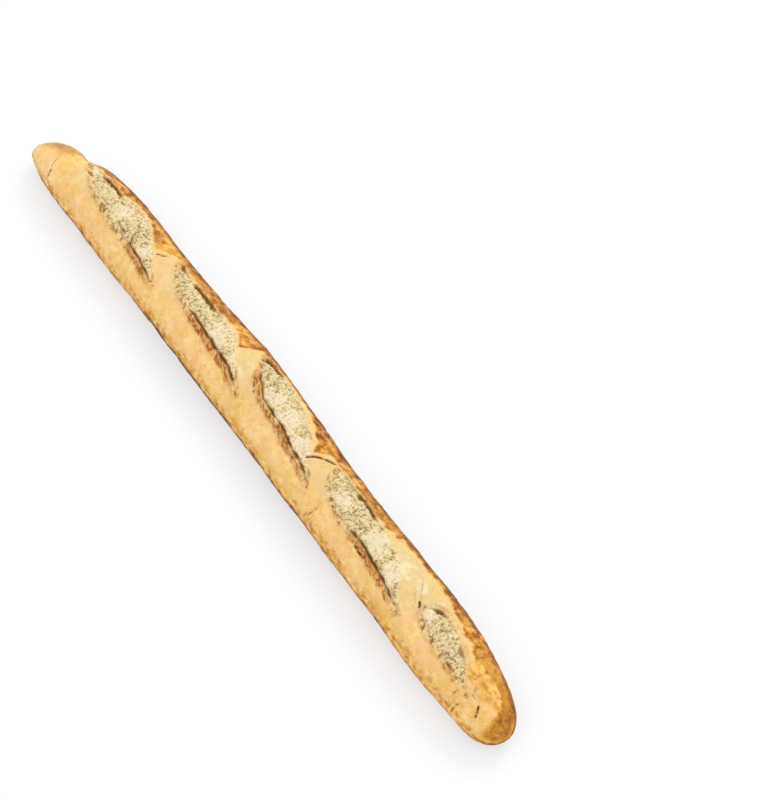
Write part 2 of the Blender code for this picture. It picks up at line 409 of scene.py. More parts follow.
def around_slash(number, slash):
    """The points near a slash, their depth inside each edge, and how open each edge is."""
    front_x, front = torn_edge(slash.front, 3.1 * number)
    back_x, back = torn_edge(slash.back, 3.1 * number + 50)
    near = np.flatnonzero(
        (station > front_x[0] - REACH)
        & (station < front_x[-1] + REACH)
        & (np.abs(angle) < STEEP)
    )
    x, degrees = station[near], angle[near]
    to_front, front_share = distance_to(front_x, front, x, degrees)
    to_back, back_share = distance_to(back_x, back, x, degrees)
    inside = (degrees > np.interp(x, front_x, front)) & (degrees < np.interp(x, back_x, back))
    inside &= (x > front_x[0]) & (x < front_x[-1])
    sign = np.where(inside, 1, -1)

    beside_front = front_x[0] + (front_x[-1] - front_x[0]) * front_share
    beside_back = back_x[0] + (back_x[-1] - back_x[0]) * back_share
    gape = window(beside_front, slash.opened[0] * MM, slash.opened[1] * MM)
    gape = CLOSED_GAPE + gape * (0.75 + 0.7 * unevenly(x, number, 0))
    hang = sum(
        strength * window(beside_back, start * MM, end * MM)
        for start, end, strength in slash.overhangs
    )
    hang = 0.4 * CLOSED_GAPE + hang * (0.9 + 0.6 * unevenly(x, number, 5))
    gape, hang = np.clip(gape, 0, MOST_OPEN), np.clip(hang, 0, MOST_OPEN)
    return near, x, inside, to_front * sign, to_back * sign, gape, hang


print(f"a closed edge still opens by {CLOSED_GAPE:.0%}")

# %% [markdown]
# ## How the crust opens
#
# Across a slash the section is always the same few things in a row: the skin
# lifts into a lip, drops into a dark crevice, and then the crumb swells up. An
# overhanging flap shades the crumb beside it. The oven toasts a raised lip
# first, so the skin just below an open edge is streaked with brown and split
# once more. These could be separate strips of mesh, but then they would need
# joining. Here each is one bump or dip at its own distance from the edge, which
# keeps the loaf one closed skin.

# %% Lips, crevices and crumb
LIP_RISE, LIP_SPREAD, LIP_FACE = 0.0012, 0.0042, 0.0009
CLOSED_LIP = 0.25  # how much of a lip an edge has that isn't open
CREVICE_DEPTH, CREVICE_WIDTH, CREVICE_INSET = 0.0020, 0.0011, 0.0007
SPLIT_INSET, SPLIT_WIDTH, SPLIT_STRAY = 0.0040, 0.0008, 0.0010  # the split along a lip
SHADE_INSET, SHADE_WIDTH, SHADE_STRAY = 0.0017, 0.0017, 0.0018  # the crumb in shade
SHADE_FROM, SHADE_OVER = 0.35, 0.55  # how far a flap hangs over before it gives shade
CRUMB_RISE, CRUMB_SHOULDER = 0.0018, 0.0045
TOAST_INSET, TOAST_WIDTH = 0.0026, 0.0027
FRINGE_INSET, FRINGE_WIDTH = 0.0006, 0.0026

count = len(station)
# The crevice mask holds a darker brown and painted shade, and the shade mask holds painted
# shade under a flap.
lift, crevice_brown_and_shade, shade, toast, fringe, open_edge = np.zeros((6, count))
inside_by = np.full(count, -REACH)

for number, slash in enumerate(SLASHES, 1):
    near, x, inside, front_depth, back_depth, gape, hang = around_slash(number, slash)
    spread = np.where(inside, LIP_FACE, LIP_SPREAD)
    rise = LIP_RISE * np.maximum(
        (CLOSED_LIP + (1 - CLOSED_LIP) * gape) * bell(front_depth, 0, spread),
        (CLOSED_LIP + (1 - CLOSED_LIP) * hang) * bell(back_depth, 0, spread),
    )
    slot_width = CREVICE_WIDTH * (1 + 0.7 * unevenly(x, number, 2, 0.012))
    split_at = -SPLIT_INSET + SPLIT_STRAY * unevenly(x, number, 8, 0.005)
    broken = rising(unevenly(x, number, 7, 0.005), 0.02, 0.25)
    slot = np.maximum.reduce([
        gape * bell(front_depth, CREVICE_INSET, slot_width),
        0.55 * gape * bell(front_depth, split_at, SPLIT_WIDTH) * broken,
        0.8 * hang * bell(back_depth, CREVICE_INSET, CREVICE_WIDTH),
    ])
    shade_at = SHADE_INSET + SHADE_STRAY * unevenly(x, number, 6, 0.004)
    shaded = np.maximum(hang - SHADE_FROM, 0) / SHADE_OVER
    shaded *= bell(back_depth, shade_at, SHADE_WIDTH)
    inner_by = np.where(
        inside, np.minimum(front_depth, back_depth), np.maximum(front_depth, back_depth)
    )
    swell = CRUMB_RISE * (1 - np.exp(-np.maximum(inner_by, 0) / CRUMB_SHOULDER))
    lift[near] += rise + swell - CREVICE_DEPTH * np.maximum(slot, 0.8 * shaded)

    toast_width = TOAST_WIDTH * (1 + 0.5 * unevenly(x, number, 3, 0.004))
    toasted = np.maximum(
        gape * bell(front_depth, -TOAST_INSET, toast_width),
        0.5 * hang * bell(back_depth, -TOAST_INSET, TOAST_WIDTH),
    )
    fringed = bell(front_depth, -FRINGE_INSET, FRINGE_WIDTH)
    nearer_edge = np.where(np.abs(front_depth) < np.abs(back_depth), gape, hang)
    open_edge[near] = np.where(inner_by > inside_by[near], nearer_edge, open_edge[near])
    for values, here in (
        (crevice_brown_and_shade, slot), (shade, shaded), (toast, toasted), (fringe, fringed),
        (inside_by, inner_by),
    ):
        values[near] = np.maximum(values[near], here)
print(f"{(inside_by > 0).mean():.0%} of the points lie in a slash")

# %% [markdown]
# ## The straps between slashes
#
# Where one slash ends beside the start of the next, a strap of whole skin holds
# the loaf together. It didn't open, so it stayed lower than the burst crumb on
# either side of it. One broad soft dip for each strap is enough.

# %% Straps
STRAP_DIP, STRAP_LENGTH = 0.0014, 0.016

dips = sum(bell(station, slash.front[0][0] * MM, STRAP_LENGTH) for slash in SLASHES[1:])
lift -= STRAP_DIP * dips * falling(np.abs(angle), 15, 60)
print(f"{len(SLASHES) - 1} straps lowered by {STRAP_DIP * 1000:.1f} mm")

# %% [markdown]
# ## Folds where the skin was stretched
#
# As two slashes open, the strap between them is pulled over, and it folds in a
# short deep crease at the end of each slash. The crumb itself splits here and
# there as it swells, and the ends of the loaf, where the dough was pinched
# shut, are wrinkled. Sculpting strokes would do it too. Each fold here is one
# line on the skin, from one place to another, with a bow: a narrow cut with
# plumper skin beside it, broken by noise so that it doesn't look drawn.

# %% Folds
# Stations in millimetres and angles in degrees; the bow is in millimetres too.
Fold = namedtuple("Fold", "x1 angle1 x2 angle2 bow depth")
FOLDS = (
    Fold(-183, -3, -177, -20, -1.0, 1.0),
    Fold(-181, 9, -171, 11, 0.0, 0.8),
    Fold(-206, -11, -188, -13, 0.0, 0.7),
    Fold(-192, 15, -184, 3, 1.0, 0.6),
    Fold(-159, 6, -152, 21, 1.0, 1.0),
    Fold(-47, 11, -39, 44, -1.0, 0.8),
    Fold(-42, 28, -38, 50, 0.0, 0.9),
    Fold(65, -10, 84, 33, -3.5, 1.6),
    Fold(76, 36, 86, 38, 0.0, 0.8),
    Fold(145, -28, 158, -30, 0.5, 1.4),
    Fold(-19, 4, -4, -12, 0.5, 0.9),
    Fold(-262, 1, -240, -12, 0.0, 0.35),
    Fold(136, -10, 142, -19, -1.0, 1.0),
    Fold(125, -6, 123, 9, 1.0, 0.5),
    Fold(197, 27, 207, 5, 1.0, 0.5),
    Fold(207, 6, 216, -9, 0.5, 1.4),
    Fold(199, 6, 212, -12, 0.5, 0.4),
    # wrinkles at the near end
    Fold(298, -18, 304, -48, 1.5, 1.4),
    Fold(290, -18, 300, -20, -0.8, 0.6),
    Fold(289, -47, 287, -88, -1.0, 0.8),
    Fold(282, -32, 281, -52, -0.8, 0.8),
    Fold(286, -26, 291, -34, 0.6, 0.5),
    Fold(284, -60, 282, -86, 0.5, 0.5),
    Fold(286, -13, 298, -13, 1.0, 0.4),
    # the pinched neck of the far end
    Fold(-293, 8, -288, -42, 1.0, 0.5),
    Fold(-287, -38, -286, -64, 1.0, 1.6),
    # fine creases low on the front
    Fold(103, -38, 99, -66, 1.0, 0.6),
    Fold(98, -54, 95, -86, 1.0, 0.6),
    Fold(106, -60, 103, -84, 1.0, 0.5),
)
FOLD_POINTS, FOLD_REACH = 24, 0.03
FOLD_DEPTH, FOLD_WIDTH = 0.0014, 0.0008
PLUMPNESS, PLUMP_AT = 0.35, 0.0026
FOLD_BREAKS = 0.0035  # the size of the breaks in a fold


def uneven(points, size, seed, octaves=2):
    """Smooth noise from about -1 to 1, with lumps of that size in metres."""
    scaled = (points / size + seed * 3.7).tolist()
    return np.array([noise.fractal(p, 0.8, 2.0, octaves) for p in scaled])


for number, fold in enumerate(FOLDS, 1):
    share = np.linspace(0, 1, FOLD_POINTS)
    bow = fold.bow * 4 * share * (1 - share)
    line_x = (fold.x1 + (fold.x2 - fold.x1) * share + bow) * MM
    line_angle = fold.angle1 + (fold.angle2 - fold.angle1) * share
    line_angle += wander(line_x, 90 + number)
    near = np.flatnonzero(np.abs(station - (fold.x1 + fold.x2) / 2 * MM) < FOLD_REACH)
    gap, at = distance_to(line_x, line_angle, station[near], angle[near])
    fading = fold.depth * smooth(np.minimum(at, 1 - at) * 4 + 0.15)
    fading *= 0.8 + 0.9 * uneven(smooth_skin[near], FOLD_BREAKS, 33)
    cut = fading * bell(gap, 0, FOLD_WIDTH)
    lift[near] += FOLD_DEPTH * (PLUMPNESS * fading * bell(gap, PLUMP_AT, PLUMP_AT) - cut)
    # The fold's cut is painted darker too: brown, and painted shade deep in it.
    crevice_brown_and_shade[near] = np.maximum(crevice_brown_and_shade[near], 0.85 * cut)
print(f"{len(FOLDS)} folds pressed in")

# %% [markdown]
# ## Uneven dough
#
# A hand-shaped loaf is never quite even. Three sizes of soft lump, from the
# width of a thumb down to a few millimetres, take away the look of a turned
# piece of wood. A Displace modifier with a cloud texture could do it, but noise
# asked for at each point can be added up with the rest of the relief.

# %% Lumps
LUMPS = ((0.034, 0.00055), (0.012, 0.00040), (0.005, 0.00018))  # (size, height)

for seed, (size, height) in enumerate(LUMPS, 1):
    lift += height * uneven(smooth_skin, size, seed)
print(f"lumps of {', '.join(f'{size * 1000:.0f}' for size, height in LUMPS)} mm")

# %% [markdown]
# ## Where the crumb shows
#
# Crumb is the torn inside of the loaf. Its border against the crust is sharp
# under an open edge and ragged where the crust thins out, so the noise along
# the border grows where the edge is closed. Where the crumb swelled last it
# stayed smooth and floury. A baker would point at those places, so they are
# written down as spots: millimetres along, degrees around, millimetres across.

# %% Crumb and flour
RAGGED, RAG_SIZE = 0.0013, 0.0036
FEATHER, SHARP = 0.0050, 0.0012
FLOURY = (
    (-206, 3, 10), (-166, -12, 8), (-256, 14, 5), (-64, -4, 13), (-40, -12, 9),
    (10, 4, 12), (32, 8, 12), (56, -6, 12), (112, 2, 8), (156, 0, 13), (182, -12, 12),
    (225, -2, 6),
)

closed = 1 - open_edge
ragged = RAGGED * (0.5 + 1.3 * closed) * uneven(smooth_skin, RAG_SIZE, 20)
crumb = smooth((inside_by + ragged) / (SHARP + FEATHER * closed) + 0.5)

torn = np.flatnonzero(crumb > 0.02)
place = smooth_skin[torn]
floured = np.full(len(torn), -1.0)
for along, around, across in FLOURY:
    away = np.hypot(station[torn] - along * MM, (angle[torn] - around) * AROUND)
    floured = np.maximum(floured, 1 - away / (across * MM))
floured = smooth(1.3 * floured + 0.60 * uneven(place, 0.007, 21) + 0.18)
print(f"torn crumb covers {(crumb > 0.5).mean():.0%} of the points")

# %% [markdown]
# ## Torn crumb
#
# Torn crumb breaks into grains about 2 mm across. Bubbles leave pits in it, and
# cracks run through it about 8 mm apart. The floury places are only drawn out
# into fine ribs. A bump map could hint at all this, but the pits and cracks are
# about 1 mm deep, so they are pressed into the mesh. Cells of noise give the
# grains and the cracks, since cells have borders, and smooth noise the rest.

# %% Grains, pits, cracks and ribs
GRAIN_SIZE, GRAIN_HEIGHT = 0.0024, 0.00060
PIT_SIZE, PIT_DEPTH = 0.0024, 0.00110
CRACK_SPACING, CRACK_DEPTH = 0.0085, 0.00120
CRACK_BEND, CRACK_BEND_SIZE = 0.0018, 0.004
TEAR_SIZE, TEAR_HEIGHT = 0.0060, 0.00100
RIB_LENGTH, RIB_WIDTH, RIB_HEIGHT = 0.0080, 0.0018, 0.00035


def cells(points, size, seed):
    """How deep each point lies in a rounded cell of about that size: 0 between two cells."""
    scaled = (points / size + seed * 3.7).tolist()
    nearest = np.array([noise.voronoi(p)[0][:2] for p in scaled])
    return nearest[:, 1] - nearest[:, 0]


def drawn_out(points, length, width, seed, slant=0.0):
    """Noise in marks of that length around the loaf and that width along it."""
    x, around = station[points], angle[points] * AROUND
    along, across = x + slant * around, around - slant * x
    flat = np.stack([along / width, across / length, np.zeros(len(x))], axis=-1)
    return uneven(flat, 1.0, seed)


grain = smooth(cells(place, GRAIN_SIZE, 5) / 0.55)
pit = rising(uneven(place, PIT_SIZE, 7), 0.26, 0.24) * (1 - 0.7 * floured)
bent = place + CRACK_BEND * uneven(place, CRACK_BEND_SIZE, 22)[:, None]
crack = smooth(1 - cells(bent, CRACK_SPACING, 23) / 0.11)
crack *= rising(uneven(place, 0.011, 24), -0.05, 0.25) * (1 - 0.5 * floured)
rib = drawn_out(torn, RIB_LENGTH, RIB_WIDTH, 27, 0.5)
relief = GRAIN_HEIGHT * (grain - 0.5) * (1 - 0.8 * floured)
relief += TEAR_HEIGHT * uneven(place, TEAR_SIZE, 6) + RIB_HEIGHT * floured * rib
relief -= np.maximum(PIT_DEPTH * pit, CRACK_DEPTH * crack)
deep_in = rising(inside_by[torn], 0.0005, 0.003)
lift[torn] += crumb[torn] * relief * (0.4 + 0.6 * deep_in)

# The pits, the cracks, the gaps between grains and the creases between ribs are painted dark as
# shade, and flour lies only outside them.
hollow_shade, flour = np.zeros((2, count))
between = (1 - grain) * 0.45 * (1 - 0.8 * floured)
creases = rising(-rib, 0.05, 0.5) * 0.55 * floured
hollow_shade[torn] = np.maximum.reduce([pit, 0.9 * crack, between, creases])
flour[torn] = floured * (1 - hollow_shade[torn])
print(f"the crumb's relief runs from {relief.min() * 1000:.1f} to {relief.max() * 1000:.1f} mm")

# %% [markdown]
# ## Stretch marks
#
# As a lip is pulled up, its skin tears in short slanting marks, which toast
# darker than the skin between them. Where the edge stayed closed, the crust is
# flecked instead. Both are shallow, so they are noise drawn out one way, and
# they are kept as values too, so that the colour lies exactly in the marks.

# %% Stretch marks and flecks
MARK_LENGTH, MARK_WIDTH, MARK_DEPTH = 0.0070, 0.0018, 0.00040
FLECK_SIZE = 0.0036

marked = np.flatnonzero(toast > 0.04)
mark = np.zeros(count)
mark[marked] = rising(drawn_out(marked, MARK_LENGTH, MARK_WIDTH, 25, 0.8), -0.02, 0.30)
lift -= MARK_DEPTH * mark * toast
toast *= 0.55 + 0.45 * mark
fringe *= closed * rising(uneven(smooth_skin, FLECK_SIZE, 26), -0.06, 0.30)
lift -= MARK_DEPTH * fringe
print(f"stretch marks on {len(marked)} points")

# %% [markdown]
# ## Blisters and specks
#
# Low on the front, where the skin dried last, tiny blisters stand up, and the
# skin is specked with brown. They are rounded cells of noise 3 mm across, let
# through only there and in patches. The creased places at the near end and
# below the fourth slash are specked as well.

# %% Blisters and specks
BLISTER_SIZE, BLISTER_HEIGHT = 0.0030, 0.00030

forwards = -angle  # degrees from the crest towards the front
low_front = rising(forwards, 52, 22) * falling(forwards, 98, 20)
in_patches = rising(uneven(smooth_skin, 0.022, 8), -0.10, 0.4)
blister = np.zeros(count)
blistered = np.flatnonzero(low_front * in_patches > 0.03)
blister[blistered] = smooth(cells(smooth_skin[blistered], BLISTER_SIZE, 9) / 0.55)
blister *= low_front * in_patches
lift += BLISTER_HEIGHT * blister

speck = rising(uneven(smooth_skin, FLECK_SIZE, 30), 0.12, 0.22)
creased = 3.0 * bell(station, 0.101, 0.006) * rising(forwards, 36, 12)
creased += 1.2 * bell(station, 0.284, 0.014) * bell(angle, 6, 26)
speck *= np.clip(low_front + creased, 0, 1)
speck *= rising(uneven(smooth_skin, 0.017, 31), -0.25, 0.5)
print(f"relief from {lift.min() * 1000:.1f} to {lift.max() * 1000:.1f} mm")

# %% [markdown]
# ## Setting the shape
#
# The underside lay on the oven floor, so nothing is pushed below it and the
# relief fades out there. The finished points go back into the mesh in one call.
# The shading is smooth all over, because every edge on the loaf is a soft one.

# %% Set the points
FLAT_BELOW, FADE_HEIGHT = 0.0002, 0.004

above_floor = rising(smooth_skin[:, 2], FLAT_BELOW, FADE_HEIGHT)
shaped = smooth_skin + out * (lift * above_floor)[:, None]
shaped[:, 2] = np.maximum(shaped[:, 2], 0.0)
shaped[:, 0] = np.clip(shaped[:, 0], -LENGTH / 2, LENGTH / 2)
loaf.data.vertices.foreach_set("co", shaped.ravel())
loaf.data.update()

bpy.context.view_layer.objects.active = loaf
loaf.select_set(True)
bpy.ops.object.mode_set(mode="EDIT")
bpy.ops.mesh.select_all(action="SELECT")
bpy.ops.mesh.normals_make_consistent(inside=False)
bpy.ops.object.mode_set(mode="OBJECT")
bpy.ops.object.shade_smooth()

triangles = sum(len(face.vertices) - 2 for face in loaf.data.polygons)
print(f"the loaf has {triangles} triangles")

# %% [markdown]
# ## How dark it baked
#
# Colour on bread follows heat. The back, the near tip and the knob at the far
# end browned most. The back is also darker as painted shade, and the front flank
# is left pale as painted light, except low down, near the hot floor. This could
# be painted by hand, but a rule for each place can be tuned by one number. Each
# rule gives a heat from 0 to 1, with the painted shade counted in, and the
# hottest one counts.

# %% Heat
# The angle at which the browned back begins, at stations in millimetres: it dips
# in a triangle behind the tail of each slash, and is held off where the crumb or a
# floured strap reaches high up.
BROWN_FROM = (
    (-300, 62), (-275, 50), (-262, 32), (-225, 27), (-206, 42), (-193, 40), (-161, 3),
    (-151, 30), (-143, 40), (-132, 31), (-78, 27), (-60, 29), (-47, 10), (-39, 38),
    (-28, 42), (-18, 51), (0, 55), (28, 50), (46, 38), (58, 22), (66, 3), (74, 30), (86, 34),
    (132, 30), (142, 26), (160, 33), (176, 43), (218, 42), (240, 29), (258, 20),
    (272, 12), (290, 22), (325, 22),
)
PALE_CRUST = 0.12
# The back's browning, darkest on its lower half, is partly painted shade.
BACK_HEAT_AND_SHADE, BACK_EDGE_HEAT_AND_SHADE = 0.42, 0.27
LOW_FRONT_HEAT, FLOOR_EDGE_HEAT, SCORCHED_HEAT = 0.20, 0.35, 0.45
NEAR_TIP_HEAT, NEAR_SHOULDER_HEAT = 0.50, 0.225
KNOB_HEAT, KNOB_PALER = 0.58, 0.06
UNDERSIDE_HEAT = 0.85

brown_x, brown_angle = np.array(BROWN_FROM, float).T
brown_from = np.interp(station, brown_x * MM, brown_angle)
patch = uneven(smooth_skin, 0.011, 14)
finer = uneven(smooth_skin, 0.0045, 16)

# The browned back, most mottled where it is broad, and its dark lower half: its
# darkness is partly real browning and partly painted shade.
browned_and_shaded = smooth((angle - brown_from + 4 * patch + 3 * finer) / 8)
mottling = 1 - 0.7 * rising(station, 0.262, 0.020)
mottling *= 1 - 0.5 * rising(angle, 55, 25)
back_heat_and_shade = browned_and_shaded * (BACK_HEAT_AND_SHADE + mottling * (0.20 * patch + 0.30 * finer))
back_heat_and_shade += BACK_EDGE_HEAT_AND_SHADE * rising(angle, 46, 14)

# Low on the front, then along the line where the loaf met the floor, which
# scorched it in two places.
floor_heat = LOW_FRONT_HEAT * rising(forwards, 54, 28) * (1 + 1.3 * patch + 2.0 * finer)
floor_edge = forwards + 6 * uneven(smooth_skin, 0.030, 15)
floor_heat += FLOOR_EDGE_HEAT * rising(floor_edge, 84, 12)
scorched = bell(station, -0.085, 0.045) + 0.7 * bell(station, 0.045, 0.055)
floor_heat += SCORCHED_HEAT * scorched * rising(forwards + 4 * patch, 85, 8)

# The near tip, reached sooner at the back, and the shoulder before it.
reached = station + 0.00030 * np.maximum(angle, 0) + 0.002 * patch
near_heat = NEAR_TIP_HEAT * rising(reached, 0.309, 0.008)
shoulder = rising(station, 0.266, 0.015) * (1 + 0.6 * patch + 1.5 * finer)
shoulder *= 0.06 + NEAR_SHOULDER_HEAT * rising(angle, -18, 36)
near_heat = np.maximum(near_heat, shoulder) * rising(angle, -100, 40)

# The top of the knob, and the dark underside.
knob_top = falling(station - 0.006 * finer, -0.302, 0.026) * rising(angle, -16, 34)
knob_top *= falling(angle - 5 * patch, 76, 28)
knob_heat = KNOB_HEAT * knob_top * (1 + 0.4 * patch)
under_heat = UNDERSIDE_HEAT * rising(np.abs(angle), 118, 22)

# The hottest counts, and a little unevenness comes on top.
bake_and_shade = PALE_CRUST + np.maximum.reduce(
    [back_heat_and_shade, floor_heat, near_heat, knob_heat, under_heat]
)
bake_and_shade -= KNOB_PALER * falling(station, -0.288, 0.02) * falling(angle, 0, 30)
bake_and_shade += 0.07 * uneven(smooth_skin, 0.028, 11) + 0.07 * uneven(smooth_skin, 0.006, 12)
print(f"bake runs from {bake_and_shade.min():.2f} to {bake_and_shade.max():.2f}")

# %% [markdown]
# ## Where the flour stayed
#
# The loaf was floured before it was slashed. The flour stayed where nothing
# rubbed it off and the crust didn't brown: along the crest, on the strap before
# the last slash, on top of the knob, and in the wrinkles of the near end.

# %% Flour on the crust
dusted = falling(np.abs(angle - 6), 20, 24) * falling(np.abs(station), 0.255, 0.03)
dusted *= 0.62 + 0.30 * uneven(smooth_skin, 0.020, 13) + 0.25 * finer
floured_strap = bell(station, 0.190, 0.034) * bell(angle, 14, 26)
dusted = np.maximum(dusted, floured_strap * (1.0 + 0.5 * patch + 0.5 * finer))
dusted *= 1 - 0.9 * browned_and_shaded
dusted = np.maximum(dusted, 0.42 * knob_top * (1 + patch))
wrinkled = bell(station, 0.290, 0.012) * bell(angle, -20, 14)
dusted = np.maximum(dusted, wrinkled * (0.45 + 0.5 * finer))
print(f"flour shows on {(dusted > 0.3).mean():.0%} of the points")

# %% [markdown]
# ## Values for the material to read
#
# The material has to know where the crumb is, how dark each place baked or is
# painted as shade, and where the crevices run. Image masks would need an
# unwrapped mesh and files. An attribute keeps one number at each point and
# follows the surface exactly.

# %% Attributes
painted_at_points = {
    "bake_and_shade": bake_and_shade, "dusted": dusted, "crumb": crumb, "hollow_shade": hollow_shade, "flour": flour,
    "crevice_brown_and_shade": crevice_brown_and_shade, "shade": shade, "toast": toast, "fringe": fringe,
    "blister": blister, "speck": speck,
}
for name, values in painted_at_points.items():
    layer = loaf.data.attributes.new(name, "FLOAT", "POINT")
    layer.data.foreach_set("value", np.clip(values, 0, 1).astype(np.float32))
print(f"{len(painted_at_points)} attributes stored")

# %% [markdown]
# ## Materials by nodes
#
# A material is a tree of nodes. It could be wired by hand, but in code it can be
# read and changed in one place. Colours are written as the hex values a painter
# would pick and turned linear by one function. One more function adds a node
# with its settings and links.

# %% Colour and node helpers
def linear(hex_colour):
    """An sRGB hex colour as linear RGBA."""
    parts = [int(hex_colour[i : i + 2], 16) / 255 for i in (1, 3, 5)]
    return [c / 12.92 if c <= 0.04045 else ((c + 0.055) / 1.055) ** 2.4 for c in parts] + [1.0]


def add(tree, kind, links=None, inputs=None, stops=None, **settings):
    """A new node with its settings, input values, ramp stops and links from other sockets."""
    made = tree.nodes.new(kind)
    for name, value in settings.items():
        setattr(made, name, value)
    for key, value in (inputs or {}).items():
        made.inputs[key].default_value = value
    for key, socket in (links or {}).items():
        tree.links.new(socket, made.inputs[key])
    for i, (position, colour) in enumerate(stops or ()):
        ramp = made.color_ramp.elements
        element = ramp[i] if i < 2 else ramp.new(position)
        element.position, element.color = position, linear(colour)
    return made


print("pale crust in linear light:", [round(part, 3) for part in linear("#F0D096")])

# %% [markdown]
# ## Patterns and coats
#
# Real crust has no even colour anywhere: it is mottled over a few millimetres,
# and each thing that happened to it left a coat of its own, of flour, of toast
# or of soot. So the material is built as a painter would build it. Mottle gives
# soft spots of a real size, and each coat is laid over the colours below it,
# only where its pattern says so.

# %% Patterns and coats
crust = bpy.data.materials.new("baked_crust_and_crumb")
crust.use_nodes = True
tree = crust.node_tree
tree.nodes.clear()

MIX_A, MIX_B, MIX_RESULT = 6, 7, 2  # the colour sockets of a Mix node
MIX_A_FLOAT, MIX_B_FLOAT = 2, 3  # its sockets for plain values

pattern = {
    name: add(tree, "ShaderNodeAttribute", attribute_name=name).outputs["Fac"]
    for name in painted_at_points
}
object_place = add(tree, "ShaderNodeTexCoord").outputs["Object"]


def mottle(tree, place, size, low, high, detail=3.0):
    """Soft spots of that size in metres, running from low to high."""
    spots = add(
        tree, "ShaderNodeTexNoise", {"Vector": place}, {"Scale": 1 / size, "Detail": detail}
    )
    return add(
        tree,
        "ShaderNodeMapRange",
        {"Value": spots.outputs["Fac"]},
        {"From Min": 0.3, "From Max": 0.7, "To Min": low, "To Max": high},
    ).outputs["Result"]


# A coat is see-through where its pattern is low, and covers by that share where it is high.
Coat = namedtuple("Coat", "colour pattern low high cover")


def coated(tree, colour, coats):
    """A colour with coats laid over it, one after another."""
    for coat in coats:
        share = add(
            tree,
            "ShaderNodeMapRange",
            {"Value": pattern[coat.pattern]},
            {"From Min": coat.low, "From Max": coat.high, "To Min": 0.0, "To Max": coat.cover},
        ).outputs["Result"]
        colour = add(
            tree,
            "ShaderNodeMix",
            {0: share, MIX_A: colour},
            {MIX_B: linear(coat.colour)},
            data_type="RGBA",
        ).outputs[MIX_RESULT]
    return colour


print(f"{len(pattern)} patterns to lay coats by")

# %% [markdown]
# ## Crust: baked starch
#
# Crust is starch that gelled and then browned on a hot stone: a thin, hard skin
# that runs from straw through gold to deep brown as it takes more heat. One
# ramp does that, with spots of 6 and 2 mm to break up the heat. Pale crust isn't
# all one yellow, so patches of a clear yellow and of a warmer pink lie on it,
# and fade out where it browned. Flour greys it, blisters gild it, and specks of
# brown sit between them.

# %% Colour of the crust
SPOT_SIZES, SPOT_REACH = (0.0060, 0.0018), 0.10

# The heat here also carries the painted shade on the back.
heat_and_shade = pattern["bake_and_shade"]
for size in SPOT_SIZES:
    spots = mottle(tree, object_place, size, -SPOT_REACH, SPOT_REACH)
    heat_and_shade = add(tree, "ShaderNodeMath", {0: heat_and_shade, 1: spots}, operation="ADD").outputs[0]
crust_colour = add(
    tree,
    "ShaderNodeValToRGB",
    {"Fac": heat_and_shade},
    stops=(
        (0.00, "#F0D096"),
        (0.14, "#EBC27C"),
        (0.34, "#DBA34C"),
        (0.54, "#C5832B"),
        (0.74, "#935A20"),
        (1.00, "#5C3818"),
    ),
).outputs["Color"]

for name, size, low, high in (("yellower", 0.020, -0.3, 1.2), ("pinker", 0.014, -0.4, 1.3)):
    spots = mottle(tree, object_place, size, low, high, 2.0)
    pattern[name] = add(
        tree, "ShaderNodeMath", {0: spots, 1: pattern["bake_and_shade"]}, operation="SUBTRACT"
    ).outputs[0]
crust_colour = coated(tree, crust_colour, (
    Coat("#DAB04C", "yellower", 0.00, 1.00, 0.50),
    Coat("#E9B07C", "pinker", 0.00, 1.00, 0.42),
    Coat("#D0BB88", "dusted", 0.10, 0.80, 0.72),
    Coat("#E3D6AE", "dusted", 0.75, 1.00, 0.75),
    Coat("#DCB44A", "blister", 0.30, 1.00, 0.50),
    Coat("#9C6A26", "speck", 0.20, 1.00, 0.55),
))
print(f"the crust takes {len(tree.nodes)} nodes so far")

# %% [markdown]
# ## Crumb: torn from the inside
#
# Crumb has no skin. It set late and at a lower heat, so it stayed cream to pale
# tan, mottled over 2 mm. Flour makes the smooth places paler, and the pits, the
# cracks and the gaps between the grains are painted brown, as shade.

# %% Colour of the crumb
CRUMB_SPOTS = 0.0020

crumb_colour = add(
    tree,
    "ShaderNodeValToRGB",
    {"Fac": mottle(tree, object_place, CRUMB_SPOTS, 0.0, 1.0, 4.0)},
    stops=((0.00, "#A5844E"), (0.24, "#D6BB84"), (0.56, "#F2E0B0"), (1.00, "#E2CB92")),
).outputs["Color"]
crumb_colour = coated(tree, crumb_colour, (
    Coat("#EADBBC", "flour", 0.10, 0.90, 0.70),
    # painted shade in the crumb's pits, cracks and gaps
    Coat("#8A6736", "hollow_shade", 0.20, 1.00, 0.78),
))
colour = add(
    tree,
    "ShaderNodeMix",
    {0: pattern["crumb"], MIX_A: crust_colour, MIX_B: crumb_colour},
    data_type="RGBA",
).outputs[MIX_RESULT]
print(f"crust and crumb take {len(tree.nodes)} nodes")

# %% [markdown]
# ## Torn edges: toast, shade and crevices
#
# A raised lip is thin, so it toasts first: light brown all over, and dark brown
# in slanting streaks where the skin was stretched. The same streaks fray the
# rim of the crumb and the crumb in the shade of a flap. The streaks are noise
# drawn out 5 mm one way and 1.4 mm the other, turned to the slant of the tears.
# The crevices get their two tones last, so that nothing covers them: a darker
# brown, and a near black that is painted shade deep in them.

# %% Streaks along the torn edges
STRETCH_LENGTH, STRETCH_WIDTH, STRETCH_SLANT = 0.0050, 0.0014, math.radians(-38)


def strokes(tree, place, length, width, slant):
    """Streaks of that length and width in metres, from 0 between them to 1 on them."""
    turned = add(
        tree,
        "ShaderNodeMapping",
        {"Vector": place},
        {"Rotation": (0, 0, slant), "Scale": (length, width, width)},
        vector_type="TEXTURE",
    ).outputs["Vector"]
    spots = add(tree, "ShaderNodeTexNoise", {"Vector": turned}, {"Scale": 1.0, "Detail": 2.0})
    return add(
        tree,
        "ShaderNodeMapRange",
        {"Value": spots.outputs["Fac"]},
        {"From Min": 0.44, "From Max": 0.58},
    ).outputs["Result"]


